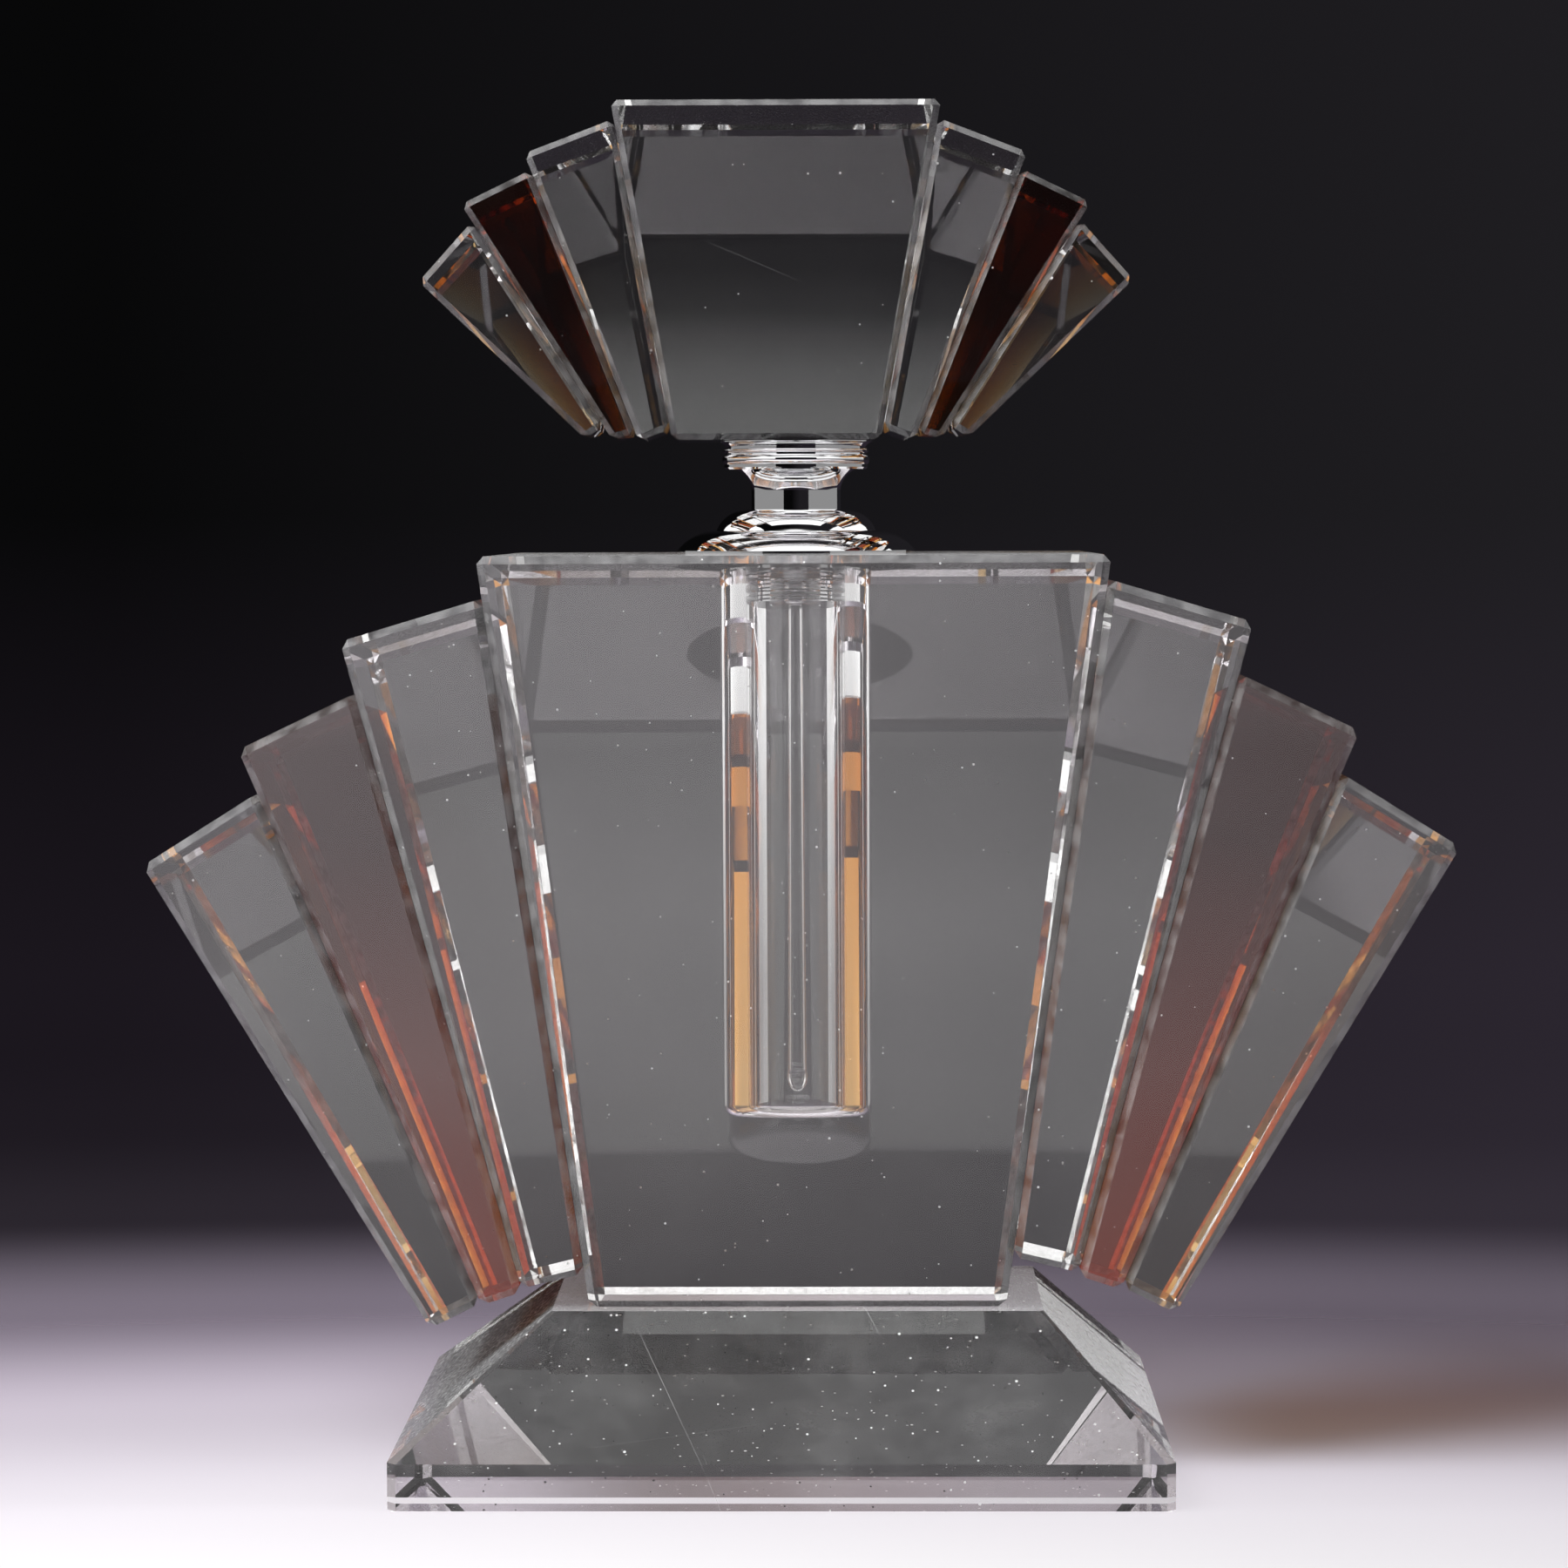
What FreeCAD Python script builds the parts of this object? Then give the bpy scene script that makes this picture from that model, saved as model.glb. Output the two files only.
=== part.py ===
"""Cut-glass perfume bottle: a drilled glass block on a plinth, fanned glass blades, a chrome neck
and a stopper with a dipper rod. Millimetres, +Z up, origin on the underside below the neck's axis."""
import FreeCAD
import Part
import os
import Sketcher

SHEET = "Sizes"

# Driving dimensions. Widths are half widths from the neck's axis, heights are above the table.
DIMENSIONS = {
    # plinth
    "slab_half_width": 50.0,
    "slab_half_depth": 35.2,
    "slab_shift": -1.9,
    "slab_height": 6.0,
    "plinth_height": 22.1,
    "plinth_top_half_width": 32.1,
    "plinth_top_half_depth": 16.6,
    "slab_corner": 1.2,
    "plinth_top_corner": 0.4,
    # glass of the bottle
    "cement": 0.06,
    "edge_cut": 1.0,
    "bottle_top": 120.7,
    "bottle_half_depth": 14.7,
    "bottle_flare": 9.1,
    "bore_radius": 9.9,
    "bore_floor": 47.4,
    "bore_corner": 1.6,
    "lift_left": -1.1,
    "lift_right": 1.1,
    # glass of the stopper
    "stopper_base": 135.66,
    "stopper_top": 179.0,
    "stopper_half_depth": 10.1,
    "stopper_flare": 9.5,
    "stopper_edge_cut": 0.8,
    "stopper_shift": -2.6,
    "stopper_yaw": 1.4,
    # chrome collar on the bottle
    "collar_hole": 6.0,
    "collar_radius": 15.8,
    "collar_lip": 0.45,
    "collar_bulge": 0.62,
    "collar_step_height": 3.05,
    "collar_step_radius": 10.9,
    "collar_height": 5.85,
    "dome_radius": 10.6,
    "dome_bulge": 0.75,
    "dome_top_radius": 6.6,
    # sleeve in the bore's mouth
    "sleeve_radius": 9.86,
    "sleeve_length": 4.9,
    "sleeve_hole": 5.06,
    "sleeve_recess": 0.05,
    "sleeve_rib_pitch": 1.45,
    "sleeve_rib_width": 0.72,
    "sleeve_groove_start": 0.9,
    "sleeve_groove_end": 1.28,
    "sleeve_groove_depth": 0.55,
    # stopper ferrule
    "skirt_radius": 5.92,
    "skirt_inner": 5.45,
    "skirt_bottom": 121.3,
    "skirt_top": 129.1,
    "trumpet_top": 131.85,
    "trumpet_radius": 7.95,
    "trumpet_hollow": 0.52,
    "ring_radius": 9.52,
    "ring_edge": 0.25,
    "low_bead_start": 0.65,
    "low_bead_end": 1.9,
    "low_bead_bulge": 0.26,
    "bead_groove_end": 2.03,
    "bead_groove_radius": 9.24,
    "high_bead_start": 2.15,
    "high_bead_end": 2.75,
    "high_bead_bulge": 0.2,
    "high_bead_radius": 9.42,
    "flare_start": 2.87,
    "flare_radius": 9.22,
    "flare_hollow": 0.14,
    "ferrule_top": 135.6,
    "ferrule_top_radius": 10.15,
    "ferrule_top_edge": 0.12,
    "socket_roof": 127.2,
    # plug, seals and rod
    "plug_radius": 4.85,
    "plug_bottom": 115.6,
    "plug_tip_cut": 0.4,
    "plug_head_radius": 5.4,
    "plug_head_top": 127.0,
    "seal_radius": 0.52,
    "seal_ring_radius": 4.48,
    "seal_low": 117.1,
    "seal_pitch": 2.2,
    "seal_gap": 0.03,
    "rod_hole": 1.45,
    "rod_top_radius": 1.4,
    "rod_tip_radius": 1.85,
    "rod_ball_radius": 2.05,
    "rod_top": 130.6,
    "rod_tip": 50.5,
    "rod_socket_top": 131.0,
}

# One row per joint line of a fan, from the block's side outwards: the piece whose outer side it is,
# its half width at the fan's base and how far it leans out, in degrees.
BOTTLE_LINES = [
    ("block", 27.35, 7.4),
    ("inner", 35.65, 14.0),
    ("amber", 41.4, 21.8),
    ("outer", 50.0, 29.8),
]
STOPPER_LINES = [
    ("block", 13.7, 9.9),
    ("inner", 18.1, 21.3),
    ("amber", 21.5, 32.3),
    ("outer", 24.8, 46.4),
]

# One row per blade, from the block outwards: name, height of its inner top corner, fall of its
# top edge in degrees, height of its inner foot corner, fall of its foot edge in degrees.
BOTTLE_BLADES = [
    ("inner", 116.45, 16.6, 27.75, 13.5),
    ("amber", 104.4, 25.5, 25.25, 18.5),
    ("outer", 91.6, 32.0, 23.7, 26.7),
]
STOPPER_BLADES = [
    ("inner", 176.6, 20.5, 137.05, 21.0),
    ("amber", 170.2, 25.5, 136.55, 16.0),
    ("outer", 163.7, 47.3, 137.4, 33.0),
]

RIB_COUNT = 3
SEAL_NAMES = ["plug_seal_lower", "plug_seal_upper"]

# Which side of its chord an arc bulges to, going along an outline.
RIGHT = 1
LEFT = -1

# How far the shapes that cut away the glass reach past it.
REACH_UP = 160.0
REACH_DOWN = 40.0
REACH_OUT = 40.0

doc = FreeCAD.newDocument("PerfumeBottle")
sheet = doc.addObject("Spreadsheet::Sheet", SHEET)
aliases = []


def add_dimension(name, value):
    """Writes one plain number to the sheet under its own alias."""
    aliases.append(name)
    row = str(len(aliases))
    sheet.set("A" + row, name)
    sheet.set("B" + row, str(value))
    sheet.setAlias("B" + row, name)


def add_fan(prefix, lines, blades):
    """Writes the lines and blades of one fan to the sheet."""
    for name, foot, lean in lines:
        add_dimension(f"{prefix}_{name}_foot", foot)
        add_dimension(f"{prefix}_{name}_lean", lean)
    for name, tip, tip_fall, sole, sole_fall in blades:
        add_dimension(f"{prefix}_{name}_tip", tip)
        add_dimension(f"{prefix}_{name}_tip_fall", tip_fall)
        add_dimension(f"{prefix}_{name}_sole", sole)
        add_dimension(f"{prefix}_{name}_sole_fall", sole_fall)


for dimension, number in DIMENSIONS.items():
    add_dimension(dimension, number)
add_fan("bottle", BOTTLE_LINES, BOTTLE_BLADES)
add_fan("stopper", STOPPER_LINES, STOPPER_BLADES)
doc.recompute()


def cell(name):
    """The expression for a cell of the sheet."""
    return f"{SHEET}.{name}"


def value(name):
    """The number in a cell of the sheet."""
    return float(sheet.get(name))


# ---------------------------------------------------------------- sketches and features

def new_body(label):
    """A named body, which is one sub-part."""
    body = doc.addObject("PartDesign::Body", label)
    body.Label = label
    return body


def new_sketch(body, role, height=None):
    """A sketch on one of the body's own origin planes, raised by an expression if given."""
    sketch = body.newObject("Sketcher::SketchObject", body.Name + "_sketch")
    plane = [part for part in body.Origin.OriginFeatures if part.Role == role][0]
    sketch.AttachmentSupport = [(plane, "")]
    sketch.MapMode = "FlatFace"
    if height:
        sketch.setExpression("AttachmentOffset.Base.z", height)
    return sketch


def fix_point(sketch, edge, end, across, up):
    """Places one end of an edge at two expressions, across and up from the sketch's origin."""
    for kind, expression in (("DistanceX", across), ("DistanceY", up)):
        start = evaluate(expression)
        index = sketch.addConstraint(Sketcher.Constraint(kind, -1, 1, edge, end, start))
        sketch.setExpression(f"Constraints[{index}]", expression)


def evaluate(expression):
    """The number that an expression gives, used as a sketch's starting guess."""
    result = sheet.evalExpression(expression)
    return float(getattr(result, "Value", result))


def polygon(sketch, corners):
    """A closed outline of straight edges whose corners are pairs of expressions."""
    guess = [FreeCAD.Vector(evaluate(across), evaluate(up), 0) for across, up in corners]
    first = sketch.GeometryCount
    count = len(corners)
    for index in range(count):
        edge = Part.LineSegment(guess[index], guess[(index + 1) % count])
        sketch.addGeometry(edge, False)
    for index in range(count):
        after = first + (index + 1) % count
        sketch.addConstraint(Sketcher.Constraint("Coincident", first + index, 2, after, 1))
    for index, (across, up) in enumerate(corners):
        fix_point(sketch, first + index, 1, across, up)


def curved_outline(sketch, corners):
    """A closed outline. A corner is (across, up), or (across, up, side, bulge): its next edge is
    then an arc that bulges to the side, RIGHT or LEFT, of the way the outline runs."""
    guess = [FreeCAD.Vector(evaluate(corner[0]), evaluate(corner[1]), 0) for corner in corners]
    count = len(corners)
    for index, corner in enumerate(corners):
        start = guess[index]
        end = guess[(index + 1) % count]
        if len(corner) == 2:
            sketch.addGeometry(Part.LineSegment(start, end), False)
            continue
        along = end - start
        across = FreeCAD.Vector(along.y, -along.x, 0).normalize()
        middle = (start + end) * 0.5 + across * corner[2] * evaluate(corner[3])
        if corner[2] == LEFT:
            start, end = end, start
        sketch.addGeometry(Part.Arc(start, middle, end), False)
    for index, corner in enumerate(corners):
        start_end = arc_end(sketch, index, guess[index])
        before = (index - 1) % count
        before_end = arc_end(sketch, before, guess[index])
        sketch.addConstraint(Sketcher.Constraint("Coincident", before, before_end, index, start_end))
        fix_point(sketch, index, start_end, corner[0], corner[1])
        if len(corner) > 2:
            radius = arc_radius(corner, corners[(index + 1) % count], corner[3])
            constraint = Sketcher.Constraint("Radius", index, evaluate(radius))
            number = sketch.addConstraint(constraint)
            sketch.setExpression(f"Constraints[{number}]", radius)


def arc_radius(start, end, bulge):
    """The expression for the radius of an arc between two corners that bulges by so much."""
    chord_squared = f"(({end[0]} - ({start[0]}))^2 + ({end[1]} - ({start[1]}))^2)"
    return f"{chord_squared} / (8 * {bulge}) + {bulge} / 2"


def arc_end(sketch, index, point):
    """1 or 2: which end of an edge lies at a point, because an arc may run either way round."""
    edge = sketch.Geometry[index]
    return 1 if (edge.StartPoint - point).Length < (edge.EndPoint - point).Length else 2


def pad_both_ways(body, sketch, length):
    """Pads a sketch evenly to both sides of its plane."""
    pad = body.newObject("PartDesign::Pad", body.Name + "_pad")
    pad.Profile = sketch
    pad.Midplane = True
    pad.setExpression("Length", length)
    sketch.Visibility = False
    return pad


def cut_through(body, sketch):
    """Cuts a sketch's area right through the body, to both sides of its plane."""
    pocket = body.newObject("PartDesign::Pocket", body.Name + "_pocket")
    pocket.Profile = sketch
    pocket.Type = "ThroughAll"
    pocket.Midplane = True
    sketch.Visibility = False
    return pocket


def turn(body, kind, sketch):
    """Turns a sketch once round the vertical axis, as a Revolution or a Groove."""
    feature = body.newObject("PartDesign::" + kind, body.Name + "_" + kind.lower())
    feature.Profile = sketch
    feature.ReferenceAxis = (sketch, ["V_Axis"])
    feature.Angle = 360.0
    sketch.Visibility = False
    return feature


def cut_all_edges(body, feature, size):
    """Grinds a small flat along every edge of the body."""
    doc.recompute()
    chamfer = body.newObject("PartDesign::Chamfer", body.Name + "_edges")
    chamfer.Base = (feature, [""])
    chamfer.UseAllEdges = True
    chamfer.setExpression("Size", size)
    return chamfer


def turned_body(label, corners):
    """A body made by turning one outline."""
    body = new_body(label)
    sketch = new_sketch(body, "XZ_Plane")
    curved_outline(sketch, corners)
    turn(body, "Revolution", sketch)
    return body


# ---------------------------------------------------------------- glass

def glass_wedge(label, corners, low, half_depth, flare, edge_cut):
    """A glass piece with an upright outline whose front and back faces lean apart upwards."""
    top = f"({cell(low)} + {REACH_UP})"
    bottom = f"({cell(low)} - {REACH_DOWN})"
    spread = f"tan({cell(flare)} * 1 deg)"
    top_depth = f"({cell(half_depth)} + {spread} * {REACH_UP})"
    bottom_depth = f"({cell(half_depth)} - {spread} * {REACH_DOWN})"
    body = new_body(label)
    outline = new_sketch(body, "XZ_Plane")
    polygon(outline, corners)
    pad_both_ways(body, outline, f"2 * {top_depth}")
    waste = new_sketch(body, "YZ_Plane")
    for side in ("", "-"):
        far = f"{side}({top_depth} + {REACH_OUT})"
        polygon(waste, [
            (f"{side}{bottom_depth}", bottom),
            (f"{side}{top_depth}", top),
            (far, top),
            (far, bottom),
        ])
    pocket = cut_through(body, waste)
    cut_all_edges(body, pocket, cell(edge_cut))
    return body


def line_at(prefix, name, height, base):
    """How far out the outer side of a named piece of a fan lies at a height."""
    foot = cell(f"{prefix}_{name}_foot")
    lean = cell(f"{prefix}_{name}_lean")
    return f"({foot} + tan({lean} * 1 deg) * (({height}) - {cell(base)}))"


def crossing(prefix, name, base, out, up, fall, inset):
    """Where an edge that falls away from (out, up) meets a piece's outer side less a joint's inset."""
    foot = cell(f"{prefix}_{name}_foot")
    slope = f"tan({cell(f'{prefix}_{name}_lean')} * 1 deg)"
    drop = f"tan({cell(fall)} * 1 deg)"
    reach = f"(({foot} - {inset}) + {slope} * ({up} - {cell(base)} + {out} * {drop}))"
    far_out = f"({reach} / (1 + {slope} * {drop}))"
    return far_out, f"({up} - ({far_out} - {out}) * {drop})"


def fan(prefix, blades, base, half_depth, flare, edge_cut, lifts):
    """The blades of one fan, on both sides of their block."""
    made = []
    half_joint = f"{cell('cement')} / 2"
    for side, lift in lifts:
        sign = "-" if side == "left" else ""
        neighbour = "block"
        for blade, *_ in blades:
            name = f"{prefix}_{blade}"
            tip = f"({cell(name + '_tip')} + {lift})"
            sole = f"({cell(name + '_sole')} + {lift})"
            tip_out = f"({line_at(prefix, neighbour, tip, base)} + {half_joint})"
            sole_out = f"({line_at(prefix, neighbour, sole, base)} + {half_joint})"
            inset = "0" if blade == blades[-1][0] else half_joint
            tip_far = crossing(prefix, blade, base, tip_out, tip, name + "_tip_fall", inset)
            sole_far = crossing(prefix, blade, base, sole_out, sole, name + "_sole_fall", inset)
            corners = [(sole_out, sole), sole_far, tip_far, (tip_out, tip)]
            corners = [(sign + out, up) for out, up in corners]
            label = f"{prefix}_{side}_{blade}_blade"
            made.append(glass_wedge(label, corners, base, half_depth, flare, edge_cut))
            neighbour = blade
    return made


def fan_block(label, prefix, base, bottom, top, half_depth, flare, edge_cut):
    """The block in the middle of a fan."""
    half_joint = f"{cell('cement')} / 2"
    low_out = f"({line_at(prefix, 'block', bottom, base)} - {half_joint})"
    high_out = f"({line_at(prefix, 'block', top, base)} - {half_joint})"
    corners = [(low_out, bottom), (high_out, top), ("-" + high_out, top), ("-" + low_out, bottom)]
    return glass_wedge(label, corners, base, half_depth, flare, edge_cut)


def eight_corners(out, deep, cut, shift):
    """A rectangle with its corners cut off, moved sideways."""
    near = f"({deep} - {cut})"
    inner = f"({out} - {cut})"
    return [
        (f"{shift} + {out}", f"-{near}"),
        (f"{shift} + {out}", near),
        (f"{shift} + {inner}", deep),
        (f"{shift} - {inner}", deep),
        (f"{shift} - {out}", near),
        (f"{shift} - {out}", f"-{near}"),
        (f"{shift} - {inner}", f"-{deep}"),
        (f"{shift} + {inner}", f"-{deep}"),
    ]


def make_plinth():
    """The bevelled plinth: an upright slab with a hipped upper part."""
    body = new_body("plinth")
    slab_corners = eight_corners(cell("slab_half_width"), cell("slab_half_depth"),
                                 cell("slab_corner"), cell("slab_shift"))
    top_corners = eight_corners(cell("plinth_top_half_width"), cell("plinth_top_half_depth"),
                                cell("plinth_top_corner"), "0")
    footprint = new_sketch(body, "XY_Plane")
    polygon(footprint, slab_corners)
    slab = body.newObject("PartDesign::Pad", "plinth_slab")
    slab.Profile = footprint
    slab.setExpression("Length", cell("slab_height"))
    low = new_sketch(body, "XY_Plane", cell("slab_height"))
    polygon(low, slab_corners)
    high = new_sketch(body, "XY_Plane", cell("plinth_height"))
    polygon(high, top_corners)
    hip = body.newObject("PartDesign::AdditiveLoft", "plinth_hip")
    hip.Profile = low
    hip.Sections = [high]
    hip.Ruled = True
    return body


def make_reservoir_block():
    """The middle block with the perfume's blind bore, turned out from its top."""
    base = f"({cell('plinth_height')} + {cell('cement')})"
    body = fan_block("reservoir_block", "bottle", "plinth_height", base, cell("bottle_top"),
                     "bottle_half_depth", "bottle_flare", "edge_cut")
    bore = new_sketch(body, "XZ_Plane")
    radius = cell("bore_radius")
    floor = cell("bore_floor")
    corner = cell("bore_corner")
    mouth = f"{cell('bottle_top')} + {corner}"
    curved_outline(bore, [
        ("0", floor),
        (f"{radius} - {corner}", floor, RIGHT, f"({corner} * (1 - sqrt(0.5)))"),
        (radius, f"{floor} + {corner}"),
        (radius, mouth),
        ("0", mouth),
    ])
    turn(body, "Groove", bore)
    return body


# ---------------------------------------------------------------- metal, sleeve, plug and rod

def make_neck_collar():
    """The chrome collar: a low dome under a steeper one, with a hole for the stopper's skirt."""
    base = cell("bottle_top")
    lip = f"{base} + {cell('collar_lip')}"
    step = f"{base} + {cell('collar_step_height')}"
    top = f"{base} + {cell('collar_height')}"
    return turned_body("neck_collar", [
        (cell("collar_hole"), base),
        (cell("collar_radius"), base),
        (cell("collar_radius"), lip, RIGHT, cell("collar_bulge")),
        (cell("collar_step_radius"), step),
        (cell("dome_radius"), step, RIGHT, cell("dome_bulge")),
        (cell("dome_top_radius"), top),
        (cell("collar_hole"), top),
    ])


def make_neck_sleeve():
    """The clear ribbed sleeve pressed into the bore's mouth, which the plug slides in."""
    top = f"{cell('bottle_top')} - {cell('sleeve_recess')}"
    bottom = f"({cell('bottle_top')} - {cell('sleeve_length')})"
    hole = cell("sleeve_hole")
    radius = cell("sleeve_radius")
    groove = f"{radius} - {cell('sleeve_groove_depth')}"
    corners = [(hole, bottom)]
    for rib in range(RIB_COUNT):
        low = f"{bottom} + {rib} * {cell('sleeve_rib_pitch')}"
        corners.append((radius, low))
        corners.append((radius, f"{low} + {cell('sleeve_rib_width')}"))
        corners.append((groove, f"{low} + {cell('sleeve_groove_start')}"))
        corners.append((groove, f"{low} + {cell('sleeve_groove_end')}"))
    corners.append((radius, f"{bottom} + {RIB_COUNT} * {cell('sleeve_rib_pitch')}"))
    corners.append((radius, top))
    corners.append((hole, top))
    return turned_body("neck_sleeve", corners)


def above_trumpet(name):
    """The height of a point of the ferrule's rings."""
    return f"{cell('trumpet_top')} + {cell(name)}"


def make_ferrule():
    """The stopper's chrome ferrule: skirt, trumpet, plain ring, two beads and a flared top."""
    ring = cell("ring_radius")
    trumpet = cell("trumpet_top")
    top = cell("ferrule_top")
    top_radius = cell("ferrule_top_radius")
    return turned_body("stopper_ferrule", [
        (cell("skirt_inner"), cell("skirt_bottom")),
        (cell("skirt_radius"), cell("skirt_bottom")),
        (cell("skirt_radius"), cell("skirt_top"), LEFT, cell("trumpet_hollow")),
        (cell("trumpet_radius"), trumpet),
        (f"{ring} - {cell('ring_edge')}", trumpet),
        (ring, above_trumpet("ring_edge")),
        (ring, above_trumpet("low_bead_start"), RIGHT, cell("low_bead_bulge")),
        (ring, above_trumpet("low_bead_end")),
        (cell("bead_groove_radius"), above_trumpet("bead_groove_end")),
        (cell("high_bead_radius"), above_trumpet("high_bead_start"), RIGHT, cell("high_bead_bulge")),
        (cell("high_bead_radius"), above_trumpet("high_bead_end")),
        (cell("flare_radius"), above_trumpet("flare_start"), LEFT, cell("flare_hollow")),
        (top_radius, f"{top} - {cell('ferrule_top_edge')}"),
        (top_radius, top),
        ("0", top),
        ("0", cell("rod_socket_top")),
        (cell("rod_hole"), cell("rod_socket_top")),
        (cell("rod_hole"), cell("socket_roof")),
        (cell("skirt_inner"), cell("socket_roof")),
    ])


def make_plug():
    """The clear plug: a head in the ferrule's skirt and a grooved shank that carries the seals."""
    shank = cell("plug_radius")
    bottom = cell("plug_bottom")
    tip_cut = cell("plug_tip_cut")
    head = cell("plug_head_radius")
    groove = f"{cell('seal_ring_radius')} - {cell('seal_radius')} - {cell('seal_gap')}"
    half_groove = f"({cell('seal_radius')} + {cell('seal_gap')})"
    corners = [
        (cell("rod_hole"), bottom),
        (f"{shank} - {tip_cut}", bottom),
        (shank, f"{bottom} + {tip_cut}"),
    ]
    for number in range(len(SEAL_NAMES)):
        middle = seal_height(number)
        corners.append((shank, f"{middle} - {half_groove}"))
        corners.append((groove, f"{middle} - {half_groove}"))
        corners.append((groove, f"{middle} + {half_groove}"))
        corners.append((shank, f"{middle} + {half_groove}"))
    corners.append((shank, cell("skirt_bottom")))
    corners.append((head, cell("skirt_bottom")))
    corners.append((head, cell("plug_head_top")))
    corners.append((cell("rod_hole"), cell("plug_head_top")))
    return turned_body("stopper_plug", corners)


def seal_height(number):
    """The height of a seal ring's middle."""
    return f"{cell('seal_low')} + {number} * {cell('seal_pitch')}"


def make_seal(label, number):
    """A rubber ring in one of the plug's grooves."""
    ring = doc.addObject("Part::Torus", label)
    ring.Label = label
    ring.setExpression("Radius1", cell("seal_ring_radius"))
    ring.setExpression("Radius2", cell("seal_radius"))
    ring.setExpression("Placement.Base.z", seal_height(number))
    return ring


def make_dipper_rod():
    """The glass dipper: a rod that thickens downwards and ends in a ball."""
    ball = cell("rod_ball_radius")
    neck = cell("rod_tip_radius")
    middle_to_neck = f"sqrt({ball}^2 - {neck}^2)"
    chord = f"sqrt({neck}^2 + ({ball} + {middle_to_neck})^2)"
    bulge = f"({ball} - sqrt({ball}^2 - ({chord} / 2)^2))"
    return turned_body("dipper_rod", [
        ("0", cell("rod_tip"), RIGHT, bulge),
        (neck, f"{cell('rod_tip')} + {ball} + {middle_to_neck}"),
        (cell("rod_top_radius"), cell("plug_bottom")),
        (cell("rod_top_radius"), cell("rod_top")),
        ("0", cell("rod_top")),
    ])


def place_on_stopper(body):
    """Sets a stopper glass piece where it was cemented: a little to one side and turned."""
    upright = FreeCAD.Vector(0, 0, 1)
    body.Placement.Rotation = FreeCAD.Rotation(upright, value("stopper_yaw"))
    body.setExpression("Placement.Rotation.Angle", cell("stopper_yaw"))
    body.setExpression("Placement.Base.x", cell("stopper_shift"))


bottle_lifts = [("left", cell("lift_left")), ("right", cell("lift_right"))]
stopper_lifts = [("left", "0"), ("right", "0")]

subparts = [make_plinth(), make_reservoir_block()]
subparts += fan("bottle", BOTTLE_BLADES, "plinth_height", "bottle_half_depth", "bottle_flare",
                "edge_cut", bottle_lifts)
subparts += [make_neck_collar(), make_neck_sleeve()]
subparts += [make_ferrule(), make_plug(), make_dipper_rod()]
subparts += [make_seal(label, number) for number, label in enumerate(SEAL_NAMES)]
stopper_glass = [fan_block("stopper_block", "stopper", "stopper_base", cell("stopper_base"),
                           cell("stopper_top"), "stopper_half_depth", "stopper_flare",
                           "stopper_edge_cut")]
stopper_glass += fan("stopper", STOPPER_BLADES, "stopper_base", "stopper_half_depth",
                     "stopper_flare", "stopper_edge_cut", stopper_lifts)
for glass_piece in stopper_glass:
    place_on_stopper(glass_piece)
subparts += stopper_glass

doc.recompute()

faults = []
for item in doc.Objects:
    if "Invalid" in item.State or "Error" in item.State:
        faults.append(f"{item.Label}: {item.State}")
for item in subparts:
    if item.Shape.isNull() or not item.Shape.isValid() or len(item.Shape.Solids) != 1:
        faults.append(f"{item.Label}: bad shape")
if faults:
    raise RuntimeError("; ".join(faults))

os.makedirs("parts", exist_ok=True)
for item in subparts:
    item.Shape.exportStep(f"parts/{item.Label}.step")
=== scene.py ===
"""Looks for the cut-glass perfume bottle: glass, amber glass, chrome, sleeve and seals, with a pale
floor, soft light cards and a camera at the photograph's angle. Metres, +Z up."""
import math

import bpy
from mathutils import Matrix, Vector


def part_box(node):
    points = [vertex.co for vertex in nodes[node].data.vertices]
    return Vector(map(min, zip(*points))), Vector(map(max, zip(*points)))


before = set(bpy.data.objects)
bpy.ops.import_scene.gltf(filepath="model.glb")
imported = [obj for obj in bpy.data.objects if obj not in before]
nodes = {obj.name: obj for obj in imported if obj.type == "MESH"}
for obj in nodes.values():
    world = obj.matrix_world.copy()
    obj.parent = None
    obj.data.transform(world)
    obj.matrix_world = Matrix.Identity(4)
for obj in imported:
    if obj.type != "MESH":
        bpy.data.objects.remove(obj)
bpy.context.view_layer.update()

CAMERA_PLACE = Vector((0.0080, -0.5643, 0.1253))
CAMERA_DOWN = math.radians(3.58)
CAMERA_RIGHT = math.radians(-0.99)
CAMERA_ROLL = math.radians(-0.22)
CAMERA_LENS_MM = 97.3
CAMERA_SENSOR_MM = 36.0
CAMERA_NEAREST = 0.01

GLASS_IOR = 1.517
MM = 0.001


# ------------------------------------------------------------------ node graph helper

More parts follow.
